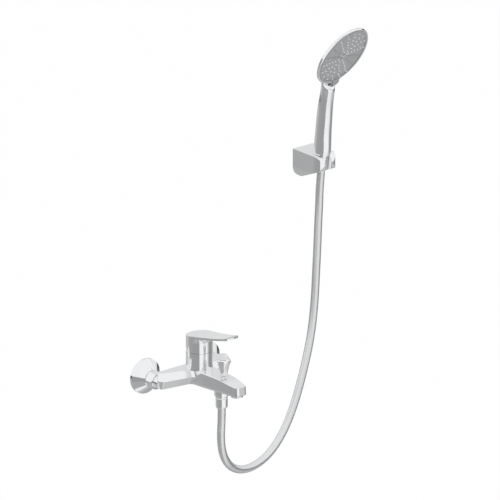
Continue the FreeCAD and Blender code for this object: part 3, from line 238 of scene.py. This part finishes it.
# Studio: a white room as the metal mirrors it. Below the horizon it is greyer, with a bright panel to the
# right, a dark skirting to both sides and a grey floor. Above it the wall is greyer behind, and low down over
# the panel. Bearings run from the camera, to the right in degrees, and heights from -1 to 1. A pair of them
# says from where to where a tone goes over into the next.
studioSettings = {
    "sky": 0.98, "frontSky": 0.74, "backSky": 0.8, "skirting": 0.1,
    "belt": [(-180, 0.55), (-112, 0.55), (-96, 0.4), (-40, 0.36), (0, 0.36), (5, 1.0), (70, 1.0),
             (80, 0.72), (95, 0.32), (145, 0.32), (180, 0.5)],
    "ground": [(-180, 0.5), (0, 0.43), (6, 0.95), (55, 0.95), (80, 0.6), (130, 0.6), (150, 0.43)],
    "groundTop": (-0.55, -0.4), "skirtingFoot": (-0.28, -0.23), "horizon": (-0.07, -0.01),
    "skirtingEdge": (72.0, 88.0), "backEdge": (120.0, 150.0), "backTop": (0.45, 0.7),
    "frontLeft": (15.0, 30.0), "frontRight": (60.0, 72.0), "frontTop": (0.3, 0.45),
    "lampPlace": (-0.9, -1.6, 2.2), "lampAim": (0.16, -0.05, 0.2), "lampSize": 1.4, "lampPower": 9.0,
    "floorHeight": -0.62, "floorSize": 9.0, "floorGrain": 40.0, "floorShown": 0.97,
    "floorDark": (0.86, 0.86, 0.86), "floorPale": (0.9, 0.9, 0.9), "white": (1.0, 1.0, 1.0, 1.0),
}


def makeWorld(settings, view):
    world = bpy.data.worlds.new("studio")
    bpy.context.scene.world = world
    graph = Graph(world)
    direction = graph.add("ShaderNodeTexCoord", output=0)
    facing = math.radians(view["azimuth"])
    toCamera = (math.sin(facing), -math.cos(facing), 0.0)
    toRight = (math.cos(facing), math.sin(facing), 0.0)
    ahead = graph.add("ShaderNodeVectorMath", {"operation": "DOT_PRODUCT"}, [direction, toCamera], 1)
    aside = graph.add("ShaderNodeVectorMath", {"operation": "DOT_PRODUCT"}, [direction, toRight], 1)
    height = graph.add("ShaderNodeSeparateXYZ", {}, [direction], 2)
    bearing = aside.math("ARCTAN2", ahead) * (180 / math.pi)

    def around(key):  # a tone that changes with the bearing
        stops = [((degrees + 180) / 360, tone) for degrees, tone in settings[key]]
        return graph.add("ShaderNodeValToRGB", {"stops": stops}, [(bearing + 180.0) / 360.0])

    def past(value, key):  # 0 below the key's pair, 1 above it
        return value.step(*settings[key])

    def over(lower, upper, key):  # the upper tone above the key's heights, the lower one below them
        share = past(height, key)
        return lower * (1.0 - share) + upper * share

    belt = around("belt")
    sides = past(bearing.size(), "skirtingEdge")
    behind = past(bearing.size(), "backEdge") * (1.0 - past(height, "backTop"))
    front = past(bearing, "frontLeft") * (1.0 - past(bearing, "frontRight"))
    front = front * (1.0 - past(height, "frontTop"))
    sky = settings["sky"] - (settings["sky"] - settings["backSky"]) * behind
    sky = sky - (settings["sky"] - settings["frontSky"]) * front
    tone = over(around("ground"), belt, "groundTop")
    tone = over(tone, belt * (1.0 - sides) + settings["skirting"] * sides, "skirtingFoot")
    tone = over(tone, sky, "horizon")
    camera, glossy, through = [graph.add("ShaderNodeLightPath", output=number) for number in (0, 3, 6)]
    shown = camera.math("MAXIMUM", glossy).math("MAXIMUM", through)
    mirrored = 1.0 - glossy * (1.0 - tone)
    grey = graph.add("ShaderNodeCombineColor", {}, [tone, tone, tone])
    room = graph.add("ShaderNodeBackground", {}, [grey, 1.0])
    white = graph.add("ShaderNodeBackground", {}, [settings["white"], mirrored])
    graph.add("ShaderNodeOutputWorld", {}, [graph.add("ShaderNodeMixShader", {}, [shown, room, white])])


def makeLamp(settings):
    data = bpy.data.lights.new("keyLamp", "AREA")
    data.shape, data.size, data.energy = "DISK", settings["lampSize"], settings["lampPower"]
    lamp = bpy.data.objects.new("keyLamp", data)
    back = Vector(settings["lampPlace"]) - Vector(settings["lampAim"])
    lamp.location = settings["lampPlace"]
    lamp.rotation_euler = back.to_track_quat("Z", "Y").to_euler()
    bpy.context.scene.collection.objects.link(lamp)
    lamp.visible_glossy = False


def makeFloor(settings, aim):
    half = settings["floorSize"]
    mesh = bpy.data.meshes.new("floor")
    low = settings["floorHeight"]
    corners = [(-half, -half), (half, -half), (half, half), (-half, half)]
    mesh.from_pydata([(aim[0] + x, aim[1] + y, low) for x, y in corners], [], [(0, 1, 2, 3)])
    floor = bpy.data.objects.new("floor", mesh)
    bpy.context.scene.collection.objects.link(floor)
    graph, material = newMaterial("palePaper")
    tone = graph.blend(graph.noise(settings["floorGrain"]), settings["floorDark"], settings["floorPale"])
    paper = graph.add("ShaderNodeBsdfDiffuse", {}, [tone])
    white = graph.add("ShaderNodeEmission", {}, [settings["white"], 1.0])
    seen = graph.add("ShaderNodeLightPath") * settings["floorShown"]
    clear = graph.add("ShaderNodeBsdfTransparent")
    below = graph.add("ShaderNodeNewGeometry", output=6)
    shown = graph.add("ShaderNodeMixShader", {}, [seen, paper, white])
    graph.add("ShaderNodeOutputMaterial", {}, [graph.add("ShaderNodeMixShader", {}, [below, shown, clear])])
    mesh.materials.append(material)
    floor.visible_glossy = False


makeWorld(studioSettings, cameraSettings)
makeFloor(studioSettings, cameraSettings["aim"])
makeLamp(studioSettings)
bpy.context.scene.view_settings.view_transform = "Standard"
print("studio made")


# Chrome: polished plating with the faint wipe marks and the soft ripple of a cast part under it.
chromeSettings = {"tone": (0.87, 0.88, 0.89), "shadeTone": (0.82, 0.83, 0.845), "rough": 0.035,
                  "wiped": 0.025, "wipeScale": 18.0, "speckled": 0.02, "speckScale": 900.0,
                  "ripple": 0.02, "rippleScale": 55.0}
platedSettings = {**chromeSettings, "rough": 0.05, "wiped": 0.055, "ripple": 0.03}


def chrome(name, settings):
    graph, material = newMaterial(name)
    wipes = graph.noise(settings["wipeScale"], 4.0, 0.6).step(0.42, 0.7)
    specks = graph.noise(settings["speckScale"], 1.0).step(0.62, 0.75)
    tone = graph.blend(wipes * 0.6, settings["tone"], settings["shadeTone"])
    roughness = settings["rough"] + wipes * settings["wiped"] + specks * settings["speckled"]
    casting = graph.noise(settings["rippleScale"], 2.0)
    graph.surface(Base_Color=tone, Metallic=1.0, Roughness=roughness,
                  Normal=graph.bump(casting, settings["ripple"], 0.001))
    return material


dress(chrome("polishedChrome", chromeSettings), "escutcheon_left", "escutcheon_right", "union_nut_left",
      "union_nut_right", "inlet_tail_left", "inlet_tail_right", "mixer_body", "trim_dome", "lever_handle",
      "diverter_knob", "aerator_housing", "shower_outlet_nipple", "hose_nut_lower", "hose_cone_nut_upper",
      "diverter_guide")
dress(chrome("platedPlastic", platedSettings), "holder_block", "handset_body", "head_rim_ring",
      "lever_index_plug")
print("chrome done")


# Brass under the plating: turned pieces, some with their pipe thread, whose grooves carry painted shade.
brassSettings = {"tone": (0.76, 0.58, 0.31), "dull": (0.55, 0.38, 0.18), "rough": 0.24,
                 "tarnishScale": 45.0, "tarnished": 0.18, "turning": 0.0004, "turningHeight": 0.15}


def brass(name, settings, axis, thread=None):
    graph, material = newMaterial(name)
    tarnish = graph.noise(settings["tarnishScale"], 4.0, 0.6).step(0.35, 0.75)
    tone = graph.blend(tarnish, settings["tone"], settings["dull"])
    along = graph.place(axis)
    height = (along * (2 * math.pi / settings["turning"])).wave() * settings["turningHeight"]
    if thread:
        across = graph.place(0).size() - thread["offset"]
        angle = (graph.place(2) - thread["height"]).math("ARCTAN2", across) / (2 * math.pi)
        ridge = ((along / thread["pitch"] + angle).part() * 2.0 - 1.0).size()
        threaded = along.step(thread["from"], thread["from"] + thread["runOut"])
        height = height * (1.0 - threaded) + ridge * threaded * thread["ridgeHeight"]
        # painted shade: the thread's grooves are drawn in the dull colour, darkest at their roots
        tone = graph.blend(threaded * (1.0 - ridge) * thread["shade"], tone, settings["dull"])
    roughness = settings["rough"] + tarnish * settings["tarnished"]
    graph.surface(Base_Color=tone, Metallic=1.0, Roughness=roughness,
                  Normal=graph.bump(height, 0.5, 0.0002))
    return material


# the shade share sets how much painted shade darkens the thread's grooves
wallThread = {"pitch": 0.001814, "offset": 0.075, "height": 0.0, "from": 0.0015, "runOut": 0.0006,
              "ridgeHeight": 6.0, "shade": 0.6}
platedThread = {**brassSettings, "tone": (0.8, 0.8, 0.81), "dull": (0.55, 0.55, 0.56), "rough": 0.16}
dress(brass("platedThread", platedThread, 1, wallThread), "eccentric_union_left", "eccentric_union_right")
dress(brass("turnedBrass", brassSettings, 2), "cartridge_retaining_nut", "hose_insert_lower",
      "hose_insert_upper", "diverter_stem", "cartridge_spindle")


# Steel: bright drawn wire and screws.
steelSettings = {"tone": (0.66, 0.67, 0.68), "dark": (0.5, 0.5, 0.51), "rough": 0.22,
                 "brushScale": 700.0, "brushRough": 0.12}


def steel(settings):
    graph, material = newMaterial("brightSteel")
    brushed = graph.noise(settings["brushScale"], 2.0)
    tone = graph.blend(brushed.step(0.4, 0.7), settings["tone"], settings["dark"])
    roughness = settings["rough"] + brushed * settings["brushRough"]
    graph.surface(Base_Color=tone, Metallic=1.0, Roughness=roughness,
                  Normal=graph.bump(brushed, 0.1, 0.0001))
    return material


dress(steel(steelSettings), "diverter_spring", "tilt_pin", "lever_grub_screw", "holder_screws",
      "holder_grub_screw", "spray_plate_screw")


# Plain moulded and rubber pieces: a tone, a darker one for its grain, and how glossy it is.
mouldedSettings = {
    "blackRubber": {"tone": (0.035, 0.035, 0.037), "other": (0.06, 0.06, 0.06), "rough": 0.62,
                    "grain": 500.0,
                    "nodes": ["strainer_washers", "cartridge_seals", "diverter_guide_seal",
                              "diverter_valve_disc", "hose_washer_lower", "hose_washer_upper",
                              "aerator_seal"]},
    "lappedCeramic": {"tone": (0.86, 0.86, 0.83), "other": (0.8, 0.8, 0.77), "rough": 0.18, "grain": 240.0,
                      "nodes": ["fixed_ceramic_disc", "moving_ceramic_disc"]},
    "innerPlastic": {"tone": (0.72, 0.73, 0.71), "other": (0.66, 0.67, 0.65), "rough": 0.42, "grain": 700.0,
                     "nodes": ["cartridge_base", "cartridge_shell", "cartridge_carrier", "disc_driver",
                               "aerator_insert", "holder_wall_plate", "spray_distributor", "handset_inlet"]},
    "greyPlate": {"tone": (0.36, 0.365, 0.375), "other": (0.33, 0.335, 0.345), "rough": 0.3, "grain": 900.0,
                  "nodes": ["spray_plate", "spray_selector_ring"]},
    "paleSilicone": {"tone": (0.74, 0.75, 0.76), "other": (0.68, 0.69, 0.7), "rough": 0.48, "grain": 900.0,
                     "nodes": ["spray_nozzles"]},
}


wearSettings = {"scale": 30.0, "rough": 0.08}


def moulded(name, settings, wear):
    graph, material = newMaterial(name)
    grain = graph.noise(settings["grain"], 3.0)
    worn = graph.noise(wear["scale"], 3.0).step(0.4, 0.75)
    tone = graph.blend(grain * 0.5 + worn * 0.5, settings["tone"], settings["other"])
    graph.surface(Base_Color=tone, Metallic=0.0, Roughness=settings["rough"] + worn * wear["rough"],
                  Normal=graph.bump(grain, 0.12, 0.0001))
    return material


for finish, look in mouldedSettings.items():
    dress(moulded(finish, look, wearSettings), *look["nodes"])


# Hose skin: clear plastic over a silvery strip wound round it, so a fine slanted line shows.
skinSettings = {"tone": (0.78, 0.79, 0.8), "seam": (0.6, 0.61, 0.62), "seamFrom": 0.86, "rough": 0.33,
                "seamRough": 0.1, "smudgeScale": 60.0, "smudged": 0.04, "coat": 0.3, "coatRough": 0.1}


def hoseSkin(settings, pitch):
    graph, material = newMaterial("silverHose")
    winding = graph.add("ShaderNodeUVMap", {"uv_map": "winding"})
    around = graph.add("ShaderNodeSeparateXYZ", {}, [winding], 0)
    along = graph.add("ShaderNodeSeparateXYZ", {}, [winding], 1)
    lap = ((along / pitch + around).part() - 0.5).size() * 2.0
    line = lap.step(settings["seamFrom"], 1.0)
    tone = graph.blend(line * 0.5, settings["tone"], settings["seam"])
    smudges = graph.noise(settings["smudgeScale"], 3.0)
    roughness = settings["rough"] + line * settings["seamRough"] + smudges * settings["smudged"]
    graph.surface(Base_Color=tone, Metallic=1.0, Roughness=roughness, Coat_Weight=settings["coat"],
                  Coat_Roughness=settings["coatRough"], Normal=graph.bump(1.0 - line, 0.12, 0.0002))
    return material


hose.data.materials.append(hoseSkin(skinSettings, hoseSettings["pitch"]))
print("finishes done")
